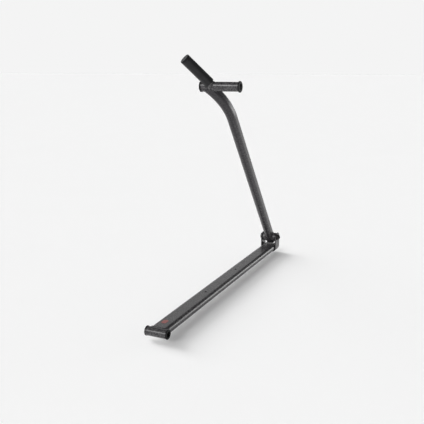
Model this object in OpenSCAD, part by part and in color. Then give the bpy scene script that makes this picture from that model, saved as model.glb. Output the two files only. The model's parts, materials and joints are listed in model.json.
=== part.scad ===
// Folding bicycle wall rack: a flat-oval wall rail with a cross sleeve at one end, and a bent arm
// that hinges on a clevis bracket at the other end and carries a cross sleeve and a padded hook.
// The origin is on the bracket's wall face, straight under the pivot axis. +Z points away from the
// wall, the rail runs along -Y and the pivot axis is parallel to X.

/* [Rail] */
// Distance from the pivot axis to the axis of the foot sleeve
rail_l = 770; // [620:5:900]
// Width of the flat-oval rail tube
rail_w = 46; // [40:1:50]
// Thickness of the flat-oval rail tube
rail_h = 20; // [16:1:20]
// Wall thickness of the rail, the arm and the sleeves
wall = 2; // [1.5:0.25:2.5]
// Diameter of the two wall screw holes
screw_hole_d = 7; // [5:0.5:9]
// Distance from the pivot axis to the nearer screw hole
screw_hole_near = 303; // [200:1:340]
// Distance between the two screw holes
screw_hole_spacing = 207; // [100:1:240]

/* [Sleeves] */
// Outside diameter of the head sleeve
sleeve_d = 25; // [22:0.5:26]
// Length of the head sleeve
head_l = 107; // [100:1:140]
// Sideways shift of the head sleeve's middle
head_shift = -5; // [-10:0.5:0]
// Bore of the head sleeve's flanged bushes
head_bore_d = 17; // [10:0.5:17]
// Outside diameter of the foot sleeve
foot_d = 22; // [20:0.5:24]
// Length of the foot sleeve
foot_l = 52.5; // [52.5:0.5:90]
// Bore of the foot sleeve's flanged bushes
foot_bore_d = 15; // [10:0.5:15]

/* [Hinge] */
// Thickness of the bracket's plate
bracket_t = 3; // [2:0.5:4]
// Length of the bracket along the rail
bracket_l = 38; // [34:1:44]
// Distance from the pivot axis to the bracket's middle, away from the rail
bracket_shift = 3; // [0:0.5:4]
// Height of the pivot axis above the wall
pivot_z = 48; // [48:0.5:60]
// Outside diameter of the pivot barrel
barrel_d = 28; // [24:0.5:30]
// Diameter of the pivot bolt
bolt_d = 10; // [8:0.5:10]
// Lean of the arm from square to the wall
arm_lean = 38.6; // [0:0.2:50]

/* [Arm] */
// Side to side thickness of the arm tube
arm_w = 25; // [18:1:25]
// Front to back depth of the arm tube
arm_depth = 34; // [28:1:34]
// Distance from the pivot to the start of the bend
arm_straight = 538; // [400:1:600]
// Centreline radius of the bend
bend_r = 168; // [120:2:180]
// Angle of the bend
bend_angle = 42; // [30:1:42]

/* [Hook] */
// Outside diameter of the padded grip
grip_d = 27.6; // [24.2:0.1:30]
// Outside diameter of the hook's steel tube
hook_d = 22; // [20:0.5:23]
// Length of the hook from the head sleeve's axis to its tip
hook_l = 107; // [80:1:140]
// Angle between the hook and the arm's straight part
hook_angle = 31; // [20:1:40]
// Sideways place of the hook on the head sleeve
hook_x = -26.5; // [-30:0.5:-20]

/* [Hidden] */
$fn = 96;
eps = 0.01;
big = 400;

// rail
rail_z = bracket_t + rail_h / 2;
rail_top = bracket_t + rail_h;
rail_end_y = bracket_shift + bracket_l / 2 - 8;
screw_y = [-screw_hole_near, -screw_hole_near - screw_hole_spacing];
foot_z = rail_z;
plug_flange = 2;
plug_depth = 14;
weld_w = 2.2;

// sleeves and bushes
sleeve_bore_d = sleeve_d - 2 * wall;
head_rim_d = sleeve_d + 4.5;
head_rim_t = 3.5;
head_rim_round = 1.4;
foot_sleeve_bore_d = foot_d - 2 * wall;
foot_rim_d = foot_d + 1.4;
foot_rim_t = 2.6;
foot_rim_round = 1.2;
bush_l = 16;

// hinge
gap_w = rail_w;
ear_top = 14.5;
ear_round = 16.5;
pivot_flange_t = 2;
side_play = 0.5;
barrel_l = gap_w - 2 * (pivot_flange_t + side_play);
barrel_bore_d = barrel_d - 2 * wall;
pivot_bore_d = bolt_d + 0.1;
pivot_bush_l = 14;
bolt_head_r = 9.5;
bolt_head_h = 7.5;
socket_af = 6;
socket_depth = 3;
washer_d = 21;
washer_t = 2;
nut_af = 17;
nut_h = 5;
nut_chamfer = 1;
bolt_end = 0.6;
bracket_face_x = gap_w / 2 + bracket_t;

// arm
heel_r = 24.4;
sole_z = rail_top + 4.5;
arm_plug_t = 1.5;
end_angle = 8;
end_margin = 1;
head_z = arm_straight + bend_r * sin(bend_angle);

// hook
grip_start = 14;
cap_l = 5;
cap_plug_l = 12;
cap_round = 1.4;
joint_gap = 0.3;

// decal
decal_l = 20;
decal_w = 13;
decal_t = 0.3;
decal_x = -3;
decal_y = -rail_l + 41;

steel = "#4b4b50";
plastic = "#1b1b1d";
rubber = "#242427";
fastener = "#2c2c2e";

// ---- shared shapes ----

// a flat oval, w wide and h thick, with full round sides
module flat_oval(w, h) {
    square([w - h, h], center = true);
    for (s = [-1, 1])
        translate([s * (w - h) / 2, 0]) circle(d = h);
}

// a round bar along X
module bar_x(l, d) {
    rotate([0, 90, 0]) cylinder(h = l, d = d, center = true);
}

// a round tube along X
module tube_x(l, d_out, d_in) {
    difference() {
        bar_x(l, d_out);
        bar_x(l + 2 * eps, d_in);
    }
}

// a flanged bush, its flange outside the tube's end and its body reaching inwards along -Z
module flanged_bush(body_d, body_l, bore_d, rim_d, rim_t, round_r) {
    rotate_extrude() difference() {
        union() {
            translate([0, -body_l]) square([body_d / 2, body_l + eps]);
            square([rim_d / 2 - round_r, rim_t]);
            square([rim_d / 2, rim_t - round_r]);
            translate([rim_d / 2 - round_r, rim_t - round_r]) circle(r = round_r, $fn = 48);
        }
        translate([-eps, -body_l - 1]) square([bore_d / 2 + eps, body_l + rim_t + 2]);
    }
}

// places a bush at one end of a sleeve that runs along X; side is -1 or 1
module at_sleeve_end(l, side) {
    translate([side * l / 2, 0, 0]) rotate([0, side * 90, 0]) children();
}

// the arm's own frame: Z runs up its straight part from the pivot, Y is front to back
module arm_frame() {
    translate([0, 0, pivot_z]) rotate([arm_lean, 0, 0]) children();
}

// the arm's swept solid, with its section shrunk by inset
module arm_sweep(inset) {
    w = arm_w - 2 * inset;
    d = arm_depth - 2 * inset;
    translate([0, 0, -heel_r]) linear_extrude(height = heel_r + arm_straight)
        rotate(90) flat_oval(d, w);
    translate([-bend_r, 0, arm_straight]) rotate([90, 0, 0])
        rotate_extrude(angle = bend_angle + end_angle) translate([bend_r, 0])
            rotate(90) flat_oval(d, w);
}

// the solid shape of the head sleeve, in the arm's frame
module head_bar(grow) {
    translate([head_shift, 0, head_z]) bar_x(head_l, sleeve_d + 2 * grow);
}

// everything past the arm's end, in the arm's frame: above the head sleeve's axis, lowered by drop,
// or beyond the head sleeve's left end
module past_arm_end(drop) {
    translate([-big / 2, -big / 2, head_z - drop]) cube(big);
    translate([head_shift - head_l / 2 + end_margin - big, -big / 2, head_z - big / 2]) cube(big);
}

// everything past the arm's foot, in the arm's frame: outside its round heel and below its flat sole,
// both raised by rise
module past_foot(rise) {
    difference() {
        translate([-big / 2, -big / 2, -big]) cube(big);
        bar_x(2 * big, 2 * (heel_r - rise));
    }
    rotate([-arm_lean, 0, 0]) translate([-big / 2, -big / 2, sole_z + rise - pivot_z - big]) cube(big);
}

// the hook's own frame: Z runs out along the hook from the head sleeve's axis
module hook_frame() {
    arm_frame() translate([hook_x, 0, head_z]) rotate([0, -hook_angle, 0]) children();
}

// ---- the rail's body ----

module rail_solid(inset, from_y, to_y) {
    translate([0, to_y, rail_z]) rotate([90, 0, 0])
        linear_extrude(height = to_y - from_y) flat_oval(rail_w - 2 * inset, rail_h - 2 * inset);
}

module rail_tube() {
    color(steel) difference() {
        rail_solid(0, -rail_l, rail_end_y);
        rail_solid(wall, -rail_l - 1, rail_end_y + 1);
        translate([0, -rail_l, foot_z]) bar_x(big, foot_d);
        translate([-big / 2, -rail_l - big, 0]) cube(big);
        for (y = screw_y)
            translate([0, y, 0]) cylinder(h = 2 * rail_top, d = screw_hole_d);
    }
}

module rail_plug() {
    color(plastic) {
        rail_solid(0, rail_end_y, rail_end_y + plug_flange);
        rail_solid(wall, rail_end_y - plug_depth, rail_end_y + eps);
    }
}

module foot_sleeve() {
    color(steel) translate([0, -rail_l, foot_z]) tube_x(foot_l, foot_d, foot_sleeve_bore_d);
}

module foot_weld() {
    color(steel) difference() {
        rail_solid(-weld_w, -rail_l, -rail_l + foot_d / 2 + weld_w);
        rail_solid(0, -rail_l - 1, -rail_l + foot_d);
        translate([0, -rail_l, foot_z]) bar_x(big, foot_d);
        translate([-big / 2, -rail_l - big + foot_d / 4, -big / 2]) cube(big);
    }
}

module foot_bush(side) {
    color(plastic) translate([0, -rail_l, foot_z]) at_sleeve_end(foot_l, side)
        flanged_bush(foot_sleeve_bore_d, bush_l, foot_bore_d, foot_rim_d, foot_rim_t, foot_rim_round);
}

// the ears' outline seen along X, from the rail's mid-height up, with rounded top corners
module ear_outline() {
    h = pivot_z + ear_top - rail_z;
    translate([-bracket_l / 2, 0]) square([bracket_l, h - ear_round]);
    translate([ear_round - bracket_l / 2, 0]) square([bracket_l - 2 * ear_round, h]);
    for (s = [-1, 1])
        translate([s * (bracket_l / 2 - ear_round), h - ear_round]) circle(r = ear_round);
}

module hinge_bracket() {
    color(steel) difference() {
        union() {
            rail_solid(-bracket_t, bracket_shift - bracket_l / 2, bracket_shift + bracket_l / 2);
            translate([-bracket_face_x, bracket_shift, rail_z]) rotate([90, 0, 90])
                linear_extrude(height = 2 * bracket_face_x) ear_outline();
        }
        translate([-gap_w / 2, -bracket_l, rail_z]) cube([gap_w, 2 * bracket_l, big]);
        rail_solid(0, -bracket_l, bracket_l);
        translate([0, 0, pivot_z]) bar_x(big, pivot_bore_d);
    }
}

module pivot_bolt() {
    color(fastener) translate([0, 0, pivot_z]) rotate([0, 90, 0]) {
        shank_from = bracket_face_x + nut_h + bolt_end;
        translate([0, 0, -shank_from])
            cylinder(h = shank_from + bracket_face_x + washer_t + eps, d = bolt_d);
        // low domed head: a slice of a large ball, with a hexagon socket
        translate([0, 0, bracket_face_x + washer_t]) difference() {
            ball_r = (bolt_head_r * bolt_head_r + bolt_head_h * bolt_head_h) / (2 * bolt_head_h);
            intersection() {
                translate([0, 0, bolt_head_h - ball_r]) sphere(r = ball_r);
                cylinder(h = bolt_head_h + 1, r = bolt_head_r);
            }
            translate([0, 0, bolt_head_h - socket_depth])
                cylinder(h = socket_depth + 1, d = socket_af / cos(30), $fn = 6);
        }
    }
}

module pivot_washer() {
    color(fastener) translate([bracket_face_x, 0, pivot_z]) rotate([0, 90, 0]) difference() {
        cylinder(h = washer_t, d = washer_d);
        translate([0, 0, -1]) cylinder(h = washer_t + 2, d = bolt_d + 0.5);
    }
}

module pivot_nut() {
    color(fastener) translate([-bracket_face_x, 0, pivot_z]) rotate([0, -90, 0]) difference() {
        intersection() {
            cylinder(h = nut_h, d = nut_af / cos(30), $fn = 6);
            rotate_extrude() polygon([[0, 0], [nut_af / 2 + nut_chamfer, 0],
                [nut_af / 2 + nut_chamfer, nut_h - nut_chamfer], [nut_af / 2, nut_h], [0, nut_h]]);
        }
        translate([0, 0, -1]) cylinder(h = nut_h + 2, d = bolt_d);
    }
}

module rail_decal() {
    color("#b3261e") translate([decal_x, decal_y, rail_top]) linear_extrude(height = decal_t)
        rotate(90) flat_oval(decal_l, decal_w);
}

// ---- the arm's body ----

module pivot_barrel() {
    color(steel) arm_frame() tube_x(barrel_l, barrel_d, barrel_bore_d);
}

module pivot_bush(side) {
    color(plastic) arm_frame() at_sleeve_end(barrel_l, side)
        flanged_bush(barrel_bore_d, pivot_bush_l, pivot_bore_d, barrel_d, pivot_flange_t, 0.5);
}

module arm_tube() {
    color(steel) arm_frame() difference() {
        arm_sweep(0);
        difference() {
            arm_sweep(wall);
            past_arm_end(wall);
        }
        past_foot(arm_plug_t);
        past_arm_end(0);
        bar_x(big, barrel_d);
        head_bar(0);
    }
}

// the arm's foot below the pivot axis, shrunk by inset
module foot_solid(inset) {
    translate([0, 0, -heel_r - inset]) linear_extrude(height = heel_r + inset - barrel_d / 4)
        rotate(90) flat_oval(arm_depth - 2 * inset, arm_w - 2 * inset);
}

module arm_plug() {
    color(plastic) arm_frame() difference() {
        foot_solid(0);
        past_foot(0);
        difference() {
            foot_solid(0);
            foot_solid(wall);
            past_foot(arm_plug_t);
        }
        bar_x(big, barrel_d);
    }
}

module barrel_weld() {
    color(steel) arm_frame() difference() {
        bar_x(arm_w + 2 * weld_w, barrel_d + 2 * weld_w);
        bar_x(big, barrel_d);
        translate([0, 0, -heel_r]) linear_extrude(height = 2 * heel_r)
            rotate(90) flat_oval(arm_depth, arm_w);
    }
}

module head_sleeve() {
    color(steel) arm_frame() translate([head_shift, 0, head_z])
        tube_x(head_l, sleeve_d, sleeve_bore_d);
}

module head_bush(side) {
    color(plastic) arm_frame() translate([head_shift, 0, head_z]) at_sleeve_end(head_l, side)
        flanged_bush(sleeve_bore_d, bush_l, head_bore_d, head_rim_d, head_rim_t, head_rim_round);
}

module hook_tube() {
    color(steel) difference() {
        hook_frame() difference() {
            cylinder(h = hook_l - cap_l, d = hook_d);
            translate([0, 0, -1]) cylinder(h = hook_l + 2, d = hook_d - 2 * wall);
        }
        arm_frame() {
            head_bar(0);
            translate([-big / 2, -big / 2, head_z - big]) cube(big);
        }
    }
}

module hook_grip() {
    color(rubber) difference() {
        hook_frame() difference() {
            translate([0, 0, grip_start]) cylinder(h = hook_l - cap_l - grip_start, d = grip_d);
            cylinder(h = hook_l, d = hook_d);
        }
        arm_frame() translate([0, 0, head_z]) bar_x(big, sleeve_d + 2 * joint_gap);
    }
}

module hook_cap() {
    color(plastic) hook_frame() {
        translate([0, 0, hook_l - cap_l]) rotate_extrude() {
            square([grip_d / 2 - cap_round, cap_l]);
            square([grip_d / 2, cap_l - cap_round]);
            translate([grip_d / 2 - cap_round, cap_l - cap_round]) intersection() {
                circle(r = cap_round, $fn = 48);
                square(cap_round);
            }
        }
        translate([0, 0, hook_l - cap_l - cap_plug_l])
            cylinder(h = cap_plug_l + eps, d = hook_d - 2 * wall);
    }
}

// ---- what is drawn ----

rail_tube();
rail_plug();
foot_sleeve();
foot_weld();
foot_bush(-1);  // foot_bush_left
foot_bush(1);  // foot_bush_right
hinge_bracket();
pivot_bolt();
pivot_washer();
pivot_nut();
rail_decal();
pivot_barrel();
barrel_weld();
pivot_bush(-1);  // pivot_bush_left
pivot_bush(1);  // pivot_bush_right
arm_tube();
arm_plug();
head_sleeve();
head_bush(-1);  // head_bush_left
head_bush(1);  // head_bush_right
hook_tube();
hook_grip();
hook_cap();
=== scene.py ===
"""Looks for the folding bicycle wall rack: materials, weld beads, floor, light and camera."""
import json
import math

import bpy
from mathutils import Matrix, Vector


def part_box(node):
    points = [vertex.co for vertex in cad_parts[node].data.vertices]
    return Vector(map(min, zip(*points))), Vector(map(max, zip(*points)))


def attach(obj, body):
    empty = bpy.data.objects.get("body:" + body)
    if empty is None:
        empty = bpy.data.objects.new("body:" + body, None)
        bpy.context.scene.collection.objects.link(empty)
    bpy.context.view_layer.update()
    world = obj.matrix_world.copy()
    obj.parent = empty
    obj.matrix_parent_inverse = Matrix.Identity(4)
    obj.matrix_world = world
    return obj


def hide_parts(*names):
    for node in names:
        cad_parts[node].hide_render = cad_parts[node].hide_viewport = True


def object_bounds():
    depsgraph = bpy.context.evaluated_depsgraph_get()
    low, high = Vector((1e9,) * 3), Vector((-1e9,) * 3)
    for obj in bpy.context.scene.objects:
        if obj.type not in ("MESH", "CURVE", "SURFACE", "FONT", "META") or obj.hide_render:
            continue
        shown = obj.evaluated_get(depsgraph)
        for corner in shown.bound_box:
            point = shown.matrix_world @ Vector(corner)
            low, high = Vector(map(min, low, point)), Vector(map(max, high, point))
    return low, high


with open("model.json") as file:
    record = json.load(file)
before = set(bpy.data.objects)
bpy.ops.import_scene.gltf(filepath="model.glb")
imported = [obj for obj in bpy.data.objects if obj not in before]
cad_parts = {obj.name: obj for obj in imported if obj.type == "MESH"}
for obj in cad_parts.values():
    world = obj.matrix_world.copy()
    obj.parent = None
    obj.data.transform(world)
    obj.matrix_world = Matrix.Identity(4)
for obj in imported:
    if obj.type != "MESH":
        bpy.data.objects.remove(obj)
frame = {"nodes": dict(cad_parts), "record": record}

CAD_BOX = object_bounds()
MM = 0.001

# camera, in degrees, metres and millimetres of lens on a 36 mm sensor
CAMERA_AZIMUTH = 24.7
CAMERA_ELEVATION = 13.2
CAMERA_DISTANCE = 2.1
CAMERA_LENS = 52.08
CAMERA_AIM_FROM_PIVOT = Vector((-0.1944, -0.0478, 0.0759))

# the tone of the empty picture, and the floor's own glow that brings the lit floor to the same tone
BACKDROP = 0.905
FLOOR_LIFT = 0.193


def centre(node):
    low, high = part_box(node)
    return (Vector(low) + Vector(high)) / 2


def size(node):
    low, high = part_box(node)
    return Vector(high) - Vector(low)


# ---------------------------------------------------------------- the rack's own places

PIVOT = centre("pivot_barrel")
HEAD = centre("head_sleeve")
FOOT = centre("foot_sleeve")
BARREL_R = size("pivot_bush_left").y / 2
HEAD_R = size("head_sleeve").z / 2
FOOT_R = size("foot_sleeve").z / 2
RAIL_W = size("rail_tube").x
RAIL_H = size("rail_tube").z
RAIL_MID_Z = centre("rail_tube").z
ARM_W = size("arm_plug").x
ARM_DEPTH = 0.034
BEND_R = 0.168
BEND_START = 0.538
HOOK_R = 0.011
HOOK_ANGLE = math.radians(31)
HOOK_X = -26.5 * MM

# the arm's own frame: up runs along its straight part, back is square to that and to the pivot axis
ARM_UP = Vector((0, HEAD.y - PIVOT.y, HEAD.z - PIVOT.z)).normalized()
ARM_BACK = Vector((0, ARM_UP.z, -ARM_UP.y))
HEAD_UP = (HEAD - PIVOT).dot(ARM_UP)


def on_arm(x, back, up):
    return Vector((x, PIVOT.y, PIVOT.z)) + back * ARM_BACK + up * ARM_UP


# ---------------------------------------------------------------- materials

class Nodes:
    """A short way to build one material's node tree."""

    def __init__(self, name):
        self.material = bpy.data.materials.new(name)
        self.material.use_nodes = True
        self.tree = self.material.node_tree
        self.shader = self.tree.nodes["Principled BSDF"]
        coords = self.add("ShaderNodeTexCoord")
        self.place = coords.outputs["Object"]

    def add(self, kind, **settings):
        node = self.tree.nodes.new(kind)
        for key, value in settings.items():
            setattr(node, key, value)
        return node

    def link(self, source, target):
        self.tree.links.new(source, target)

    def noise(self, scale, detail):
        """A noise value; scale is in cycles per metre."""
        node = self.add("ShaderNodeTexNoise")
        node.inputs["Scale"].default_value = scale
        node.inputs["Detail"].default_value = detail
        self.link(self.place, node.inputs["Vector"])
        return node.outputs["Fac"]

    def ramp(self, value, low, high, out_low=0.0, out_high=1.0):
        node = self.add("ShaderNodeMapRange")
        node.inputs["From Min"].default_value = low
        node.inputs["From Max"].default_value = high
        node.inputs["To Min"].default_value = out_low
        node.inputs["To Max"].default_value = out_high
        self.link(value, node.inputs["Value"])
        return node.outputs["Result"]

    def mix(self, factor, first, second):
        """A colour between first and second, each a colour or a socket."""
        node = self.add("ShaderNodeMix", data_type="RGBA")
        self.link(factor, node.inputs[0])
        for socket, colour in ((node.inputs[6], first), (node.inputs[7], second)):
            if isinstance(colour, tuple):
                socket.default_value = (*colour, 1)
            else:
                self.link(colour, socket)
        return node.outputs[2]

    def bump(self, height, distance, strength=1.0, normal=None):
        node = self.add("ShaderNodeBump")
        node.inputs["Strength"].default_value = strength
        node.inputs["Distance"].default_value = distance
        self.link(height, node.inputs["Height"])
        if normal is not None:
            self.link(normal, node.inputs["Normal"])
        return node.outputs["Normal"]

    def edge_wear(self, low=0.53, high=0.62):
        """1 on sharp convex edges, broken up by noise, and 0 elsewhere."""
        geometry = self.add("ShaderNodeNewGeometry")
        edge = self.ramp(geometry.outputs["Pointiness"], low, high)
        broken = self.ramp(self.noise(260, 4), 0.45, 0.62)
        product = self.add("ShaderNodeMath", operation="MULTIPLY")
        self.link(edge, product.inputs[0])
        self.link(broken, product.inputs[1])
        return product.outputs[0]


def powder_coat():
    """Dark graphite powder coat: fine orange peel, a little flake, faint handling marks."""
    m = Nodes("graphite_steel")
    clouds = m.ramp(m.noise(14, 4), 0.3, 0.7)
    tone = m.mix(clouds, (0.027, 0.0245, 0.028), (0.034, 0.031, 0.0355))
    flake = m.ramp(m.noise(4200, 2), 0.62, 0.78, 0.0, 0.5)
    tone = m.mix(flake, tone, (0.060, 0.058, 0.064))
    tone = m.mix(m.edge_wear(), tone, (0.11, 0.108, 0.11))
    m.link(tone, m.shader.inputs["Base Color"])
    m.shader.inputs["Metallic"].default_value = 0.0
    m.link(m.ramp(m.noise(60, 5), 0.3, 0.7, 0.24, 0.31), m.shader.inputs["Roughness"])
    m.shader.inputs["Specular IOR Level"].default_value = 0.5
    peel = m.bump(m.noise(900, 2), 0.00003, 0.14)
    normal = m.bump(m.noise(70, 2), 0.0001, 0.06, peel)
    m.link(normal, m.shader.inputs["Normal"])
    return m.material


def moulded_plastic():
    """Black moulded plastic with a spark-eroded grain."""
    m = Nodes("black_plastic")
    clouds = m.ramp(m.noise(60, 4), 0.3, 0.7)
    tone = m.mix(clouds, (0.007, 0.007, 0.008), (0.012, 0.012, 0.013))
    tone = m.mix(m.edge_wear(), tone, (0.03, 0.03, 0.032))
    m.link(tone, m.shader.inputs["Base Color"])
    m.link(m.ramp(m.noise(300, 3), 0.3, 0.7, 0.50, 0.62), m.shader.inputs["Roughness"])
    m.shader.inputs["Specular IOR Level"].default_value = 0.2
    m.link(m.bump(m.noise(1800, 3), 0.00004, 0.5), m.shader.inputs["Normal"])
    return m.material


def grip_rubber():
    """Black rubber sleeve: slight lengthwise drag marks and a dusty bloom."""
    m = Nodes("black_rubber")
    bloom = m.ramp(m.noise(45, 5), 0.45, 0.75)
    tone = m.mix(bloom, (0.008, 0.008, 0.009), (0.017, 0.017, 0.018))
    m.link(tone, m.shader.inputs["Base Color"])
    m.link(m.ramp(m.noise(120, 4), 0.3, 0.7, 0.33, 0.45), m.shader.inputs["Roughness"])
    m.shader.inputs["Specular IOR Level"].default_value = 0.35
    fine = m.bump(m.noise(1500, 2), 0.00004, 0.4)
    m.link(m.bump(m.noise(140, 3), 0.0001, 0.25, fine), m.shader.inputs["Normal"])
    return m.material


def black_oxide():
    """Blackened steel of the bolt, washer and lock nut."""
    m = Nodes("black_fastener")
    tone = m.mix(m.ramp(m.noise(180, 4), 0.35, 0.65), (0.016, 0.016, 0.018), (0.032, 0.031, 0.031))
    tone = m.mix(m.edge_wear(0.52, 0.6), tone, (0.12, 0.115, 0.11))
    m.link(tone, m.shader.inputs["Base Color"])
    m.shader.inputs["Metallic"].default_value = 0.6
    m.link(m.ramp(m.noise(400, 3), 0.3, 0.7, 0.26, 0.40), m.shader.inputs["Roughness"])
    m.link(m.bump(m.noise(900, 2), 0.00004, 0.4), m.shader.inputs["Normal"])
    return m.material


def red_vinyl():
    """Plain red printed decal under a thin clear film."""
    m = Nodes("red_decal")
    tone = m.mix(m.ramp(m.noise(400, 4), 0.35, 0.7), (0.30, 0.06, 0.05), (0.46, 0.12, 0.11))
    m.link(tone, m.shader.inputs["Base Color"])
    m.link(m.ramp(m.noise(200, 3), 0.3, 0.7, 0.28, 0.40), m.shader.inputs["Roughness"])
    m.link(m.bump(m.noise(600, 2), 0.00003, 0.3), m.shader.inputs["Normal"])
    return m.material


def pale_floor():
    """Matt pale board, lifted a little so that it meets the empty backdrop's tone."""
    m = Nodes("pale_floor")
    tone = m.mix(m.ramp(m.noise(3, 3), 0.3, 0.7), (0.80, 0.80, 0.80), (0.805, 0.805, 0.805))
    m.link(tone, m.shader.inputs["Base Color"])
    m.shader.inputs["Roughness"].default_value = 1.0
    m.shader.inputs["Specular IOR Level"].default_value = 0.0
    m.shader.inputs["Emission Color"].default_value = (1, 1, 1, 1)
    m.shader.inputs["Emission Strength"].default_value = FLOOR_LIFT
    return m.material


MATERIALS = {
    "graphite_steel": powder_coat(),
    "black_plastic": moulded_plastic(),
    "black_rubber": grip_rubber(),
    "black_fastener": black_oxide(),
    "red_decal": red_vinyl(),
}

for part in frame["record"]["subparts"]:
    node = frame["nodes"][part["node"]]
    node.data.materials.clear()
    node.data.materials.append(MATERIALS[part["material_slot"]])


def soften_edges(node_name, width, angle=40):
    """Rounds a CAD node's sharp edges with modifiers; its mesh stays as it is."""
    node = frame["nodes"][node_name]
    weld = node.modifiers.new("weld", "WELD")
    weld.merge_threshold = 0.002 * MM
    bevel = node.modifiers.new("bevel", "BEVEL")
    bevel.width = width
    bevel.segments = 3
    bevel.limit_method = "ANGLE"
    bevel.angle_limit = math.radians(angle)
    bevel.harden_normals = True
    bevel.use_clamp_overlap = True


for edge_node, edge_width in (("hinge_bracket", 0.6 * MM), ("pivot_washer", 0.3 * MM),
                              ("pivot_nut", 0.3 * MM), ("rail_decal", 0.1 * MM)):
    soften_edges(edge_node, edge_width)


# ---------------------------------------------------------------- weld beads

BEAD_SIDES = 12
RIPPLE_PITCH = 2.2 * MM
RIPPLE_DEPTH = 0.16
BEAD_LIFT = 0.3 * MM  # how far a bead's centreline stands off the faces that it joins


def resample(points, closed, step):
    """Points spaced evenly along a path."""
    path = points + [points[0]] if closed else points
    lengths = [(b - a).length for a, b in zip(path, path[1:])]
    total = sum(lengths)
    count = max(8, round(total / step))
    out = []
    segment, start = 0, 0.0
    for i in range(count if closed else count + 1):
        want = total * i / count
        while segment < len(lengths) - 1 and start + lengths[segment] < want:
            start += lengths[segment]
            segment += 1
        along = (want - start) / max(lengths[segment], 1e-9)
        out.append(path[segment].lerp(path[segment + 1], min(1.0, along)))
    return out


def weld_bead(name, body, points, radius, closed=True):
    """A rippled bead along a path, thickest at the crest of each ripple, with tapered open ends."""
    step = RIPPLE_PITCH / 6
    path = resample(points, closed, step)
    count = len(path)
    verts, faces = [], []
    side = None
    for i, here in enumerate(path):
        before = path[i - 1] if closed or i else path[i]
        after = path[(i + 1) % count] if closed or i < count - 1 else path[i]
        along = (after - before).normalized()
        side = along.orthogonal() if side is None else side
        side = (side - side.dot(along) * along).normalized()
        up = along.cross(side)
        phase = (i * step / RIPPLE_PITCH) % 1.0
        ripple = 1.0 - RIPPLE_DEPTH * (1.0 - abs(math.cos(math.pi * phase)) ** 0.6)
        wander = 1.0 + 0.05 * math.sin(i * 0.11) + 0.04 * math.sin(i * 0.37)
        taper = 1.0 if closed else min(1.0, 0.35 + 0.3 * min(i, count - 1 - i) * step / radius)
        r = radius * ripple * wander * taper
        for k in range(BEAD_SIDES):
            turn = 2 * math.pi * k / BEAD_SIDES
            verts.append(here + r * (math.cos(turn) * side + math.sin(turn) * up))
    for i in range(count if closed else count - 1):
        for k in range(BEAD_SIDES):
            j, m = (i + 1) % count, (k + 1) % BEAD_SIDES
            faces.append((i * BEAD_SIDES + k, i * BEAD_SIDES + m, j * BEAD_SIDES + m, j * BEAD_SIDES + k))
    if not closed:
        faces.append(tuple(range(BEAD_SIDES)))
        faces.append(tuple(range((count - 1) * BEAD_SIDES, count * BEAD_SIDES))[::-1])
    mesh = bpy.data.meshes.new(name)
    mesh.from_pydata(verts, [], faces)
    mesh.validate()
    mesh.polygons.foreach_set("use_smooth", [True] * len(mesh.polygons))
    piece = bpy.data.objects.new(name, mesh)
    piece.data.materials.append(MATERIALS["graphite_steel"])
    bpy.context.scene.collection.objects.link(piece)
    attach(piece, body)


def oval_points(width, thick, count=96):
    """A flat oval's outline, as (across, through) pairs."""
    r = thick / 2
    flat = width / 2 - r
    out = []
    for i in range(count):
        turn = 2 * math.pi * i / count
        shift = flat if math.cos(turn) > 0 else -flat
        out.append((shift + r * math.cos(turn), r * math.sin(turn)))
    return out


def half_width(back):
    """The arm's half width at a place front to back."""
    r = ARM_W / 2
    past = max(0.0, abs(back) - (ARM_DEPTH / 2 - r))
    return math.sqrt(max(0.0, r * r - past * past))


def foot_bead():
    points = []
    for x, z in oval_points(RAIL_W + 2 * BEAD_LIFT, RAIL_H + 2 * BEAD_LIFT):
        reach = math.sqrt(max(0.0, (FOOT_R + BEAD_LIFT) ** 2 - z * z))
        points.append(Vector((x, FOOT.y + reach, RAIL_MID_Z + z)))
    return points


def barrel_bead(side):
    points = []
    r = BARREL_R + BEAD_LIFT
    steps = 72
    for i in range(steps):
        turn = 2 * math.pi * i / steps
        back, up = r * math.cos(turn), r * math.sin(turn)
        points.append(on_arm(side * (half_width(back) + BEAD_LIFT), back, up))
    return points


def head_bead():
    """Round the arm's coped end: under the head sleeve on both sides, then along its front and back."""
    r = HEAD_R + BEAD_LIFT
    steps = 40
    left_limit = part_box("head_sleeve")[0][0] + 1.5 * MM

    def wall(back, up, side):
        reach = BEND_R + side * half_width(back)
        return -BEND_R + math.sqrt(reach ** 2 - (up - BEND_START) ** 2) + side * 0.4 * MM

    right = []
    left = []
    for i in range(steps + 1):
        turn = math.pi + math.pi * i / steps
        back, up = r * math.cos(turn), HEAD_UP + r * math.sin(turn)
        right.append(on_arm(wall(back, up, 1), back, up))
        left.append(on_arm(max(wall(back, up, -1), left_limit), back, up))
    return right + left[::-1]


def hook_bead():
    """The part of the hook's foot that the grip leaves bare."""
    points = []
    steps = 40
    reach = 100  # degrees to each side of the hook's outer face
    for i in range(steps + 1):
        turn = math.radians(reach * (2 * i / steps - 1))
        across, back = HOOK_R * math.cos(turn), HOOK_R * math.sin(turn)
        rise = math.sqrt(max(0.0, HEAD_R ** 2 - back ** 2))
        along = (rise - across * math.sin(HOOK_ANGLE)) / math.cos(HOOK_ANGLE)
        x = HOOK_X - along * math.sin(HOOK_ANGLE) + across * math.cos(HOOK_ANGLE)
        up = HEAD_UP + along * math.cos(HOOK_ANGLE) + across * math.sin(HOOK_ANGLE)
        points.append(on_arm(x, back, up))
    return points


def bracket_bead(side):
    """Along the groove between the rail's round shoulder and the bracket's ear."""
    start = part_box("hinge_bracket")[0][1] + 1 * MM
    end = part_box("rail_tube")[1][1] - 1 * MM
    x = side * (RAIL_W / 2 - 1.3 * MM)
    z = RAIL_MID_Z + RAIL_H / 2 - 4.2 * MM
    return [Vector((x, start, z)), Vector((x, end, z))]


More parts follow.
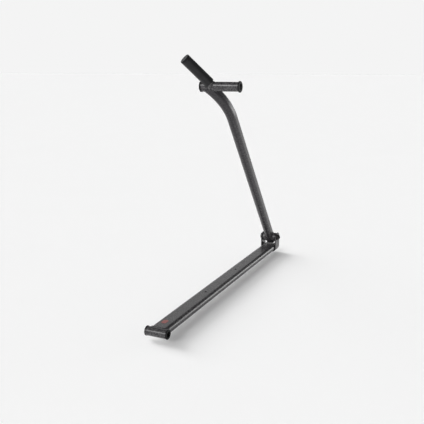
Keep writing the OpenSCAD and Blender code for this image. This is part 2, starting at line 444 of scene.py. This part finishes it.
weld_bead("foot_weld_bead", "rail", foot_bead(), 1.7 * MM)
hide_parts("foot_weld")
weld_bead("barrel_weld_bead_right", "arm", barrel_bead(1), 1.5 * MM)
weld_bead("barrel_weld_bead_left", "arm", barrel_bead(-1), 1.5 * MM)
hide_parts("barrel_weld")
weld_bead("head_weld_bead", "arm", head_bead(), 1.5 * MM)
weld_bead("hook_weld_bead", "arm", hook_bead(), 1.5 * MM, closed=False)
weld_bead("bracket_weld_bead_right", "rail", bracket_bead(1), 1.6 * MM, closed=False)
weld_bead("bracket_weld_bead_left", "rail", bracket_bead(-1), 1.6 * MM, closed=False)


# ---------------------------------------------------------------- stage

SHADOW_NODES = ("rail_tube", "rail_plug", "foot_sleeve", "foot_bush_left", "foot_bush_right")

# the rack stands a little off the board, as its loose shadow in the photograph shows
FLOOR_DROP = 7 * MM
FLOOR_HALF = 60.0

# the room's brightness at each elevation, in degrees: a soft band of light all round, dark above it
ROOM_BAND = ((0, 0.62), (6, 0.50), (13, 0.18), (24, 0.24), (34, 0.18), (50, 0.06), (90, 0.05))
ROOM_STRENGTH = 1.0


def make_floor():
    mesh = bpy.data.meshes.new("floor")
    level = CAD_BOX[0][2] - FLOOR_DROP
    corners = [(x * FLOOR_HALF, y * FLOOR_HALF, level) for x, y in ((-1, -1), (1, -1), (1, 1), (-1, 1))]
    mesh.from_pydata(corners, [], [(0, 1, 2, 3)])
    floor = bpy.data.objects.new("floor", mesh)
    floor.data.materials.append(pale_floor())
    bpy.context.scene.collection.objects.link(floor)
    return floor


SHADOW_CASTERS = bpy.data.collections.new("shadow_casters")
for caster in SHADOW_NODES:
    SHADOW_CASTERS.objects.link(frame["nodes"][caster])


def make_sun(name, towards, width, strength):
    """A soft, distant light: towards points from the rack to the light, width is its angle in degrees."""
    data = bpy.data.lights.new(name, "SUN")
    data.angle = math.radians(width)
    data.energy = strength
    light = bpy.data.objects.new(name, data)
    light.rotation_euler = Vector(towards).to_track_quat("Z", "Y").to_euler()
    bpy.context.scene.collection.objects.link(light)
    return light


def only_rail_blocks(light):
    """The photograph shows the rail's shadow and none of the arm's: the arm lets this light past."""
    light.light_linking.blocker_collection = SHADOW_CASTERS


def only_on_floor(light, floor):
    """Keeps the strong low light off the rack, where it would glare in the coating."""
    stage = bpy.data.collections.new("floor_only")
    stage.objects.link(floor)
    light.light_linking.receiver_collection = stage


def make_world():
    """An even pale backdrop for the camera; the rack itself is lit by a darker room, brighter low down."""
    world = bpy.data.worlds.new("studio")
    bpy.context.scene.world = world
    world.use_nodes = True
    nodes, links = world.node_tree.nodes, world.node_tree.links
    nodes.clear()
    coords = nodes.new("ShaderNodeTexCoord")
    split = nodes.new("ShaderNodeSeparateXYZ")
    links.new(coords.outputs["Generated"], split.inputs[0])
    ramp = nodes.new("ShaderNodeValToRGB")
    ramp.color_ramp.interpolation = "EASE"
    stops = ramp.color_ramp.elements
    while len(stops) < len(ROOM_BAND):
        stops.new(0.5)
    for stop, (elevation, bright) in zip(stops, ROOM_BAND):
        stop.position = math.sin(math.radians(elevation))
        stop.color = (bright, bright, bright, 1)
    links.new(split.outputs["Z"], ramp.inputs[0])
    room = nodes.new("ShaderNodeBackground")
    links.new(ramp.outputs["Color"], room.inputs["Color"])
    empty = nodes.new("ShaderNodeBackground")
    empty.inputs["Color"].default_value = (1, 1, 1, 1)
    room.inputs["Strength"].default_value = ROOM_STRENGTH
    empty.inputs["Strength"].default_value = BACKDROP
    path = nodes.new("ShaderNodeLightPath")
    choose = nodes.new("ShaderNodeMixShader")
    links.new(path.outputs["Is Camera Ray"], choose.inputs[0])
    links.new(room.outputs[0], choose.inputs[1])
    links.new(empty.outputs[0], choose.inputs[2])
    output = nodes.new("ShaderNodeOutputWorld")
    links.new(choose.outputs[0], output.inputs["Surface"])


def make_camera():
    data = bpy.data.cameras.new("camera")
    data.sensor_width = 36
    data.lens = CAMERA_LENS
    camera = bpy.data.objects.new("camera", data)
    azimuth = math.radians(CAMERA_AZIMUTH)
    elevation = math.radians(CAMERA_ELEVATION)
    back = Vector((math.sin(azimuth) * math.cos(elevation),
                   -math.cos(azimuth) * math.cos(elevation), math.sin(elevation)))
    camera.location = PIVOT + CAMERA_AIM_FROM_PIVOT + CAMERA_DISTANCE * back
    camera.rotation_euler = (math.pi / 2 - elevation, 0, azimuth)
    bpy.context.scene.collection.objects.link(camera)
    bpy.context.scene.camera = camera


board = make_floor()
make_world()
key = make_sun("key", towards=(-0.86, 0.24, 0.33), width=26, strength=3.05)
fill = make_sun("fill", towards=(-0.86, 0.10, 0.42), width=60, strength=1.5)
front = make_sun("front", towards=(-0.35, -0.80, 0.48), width=25, strength=1.2)
make_sun("kicker", towards=(0.50, 0.85, 0.13), width=22, strength=0.5)
make_sun("back", towards=(-0.45, 0.79, 0.42), width=28, strength=0.10)
for light in (key, fill, front):
    only_rail_blocks(light)
only_on_floor(key, board)
make_camera()
bpy.context.scene.view_settings.view_transform = "Standard"
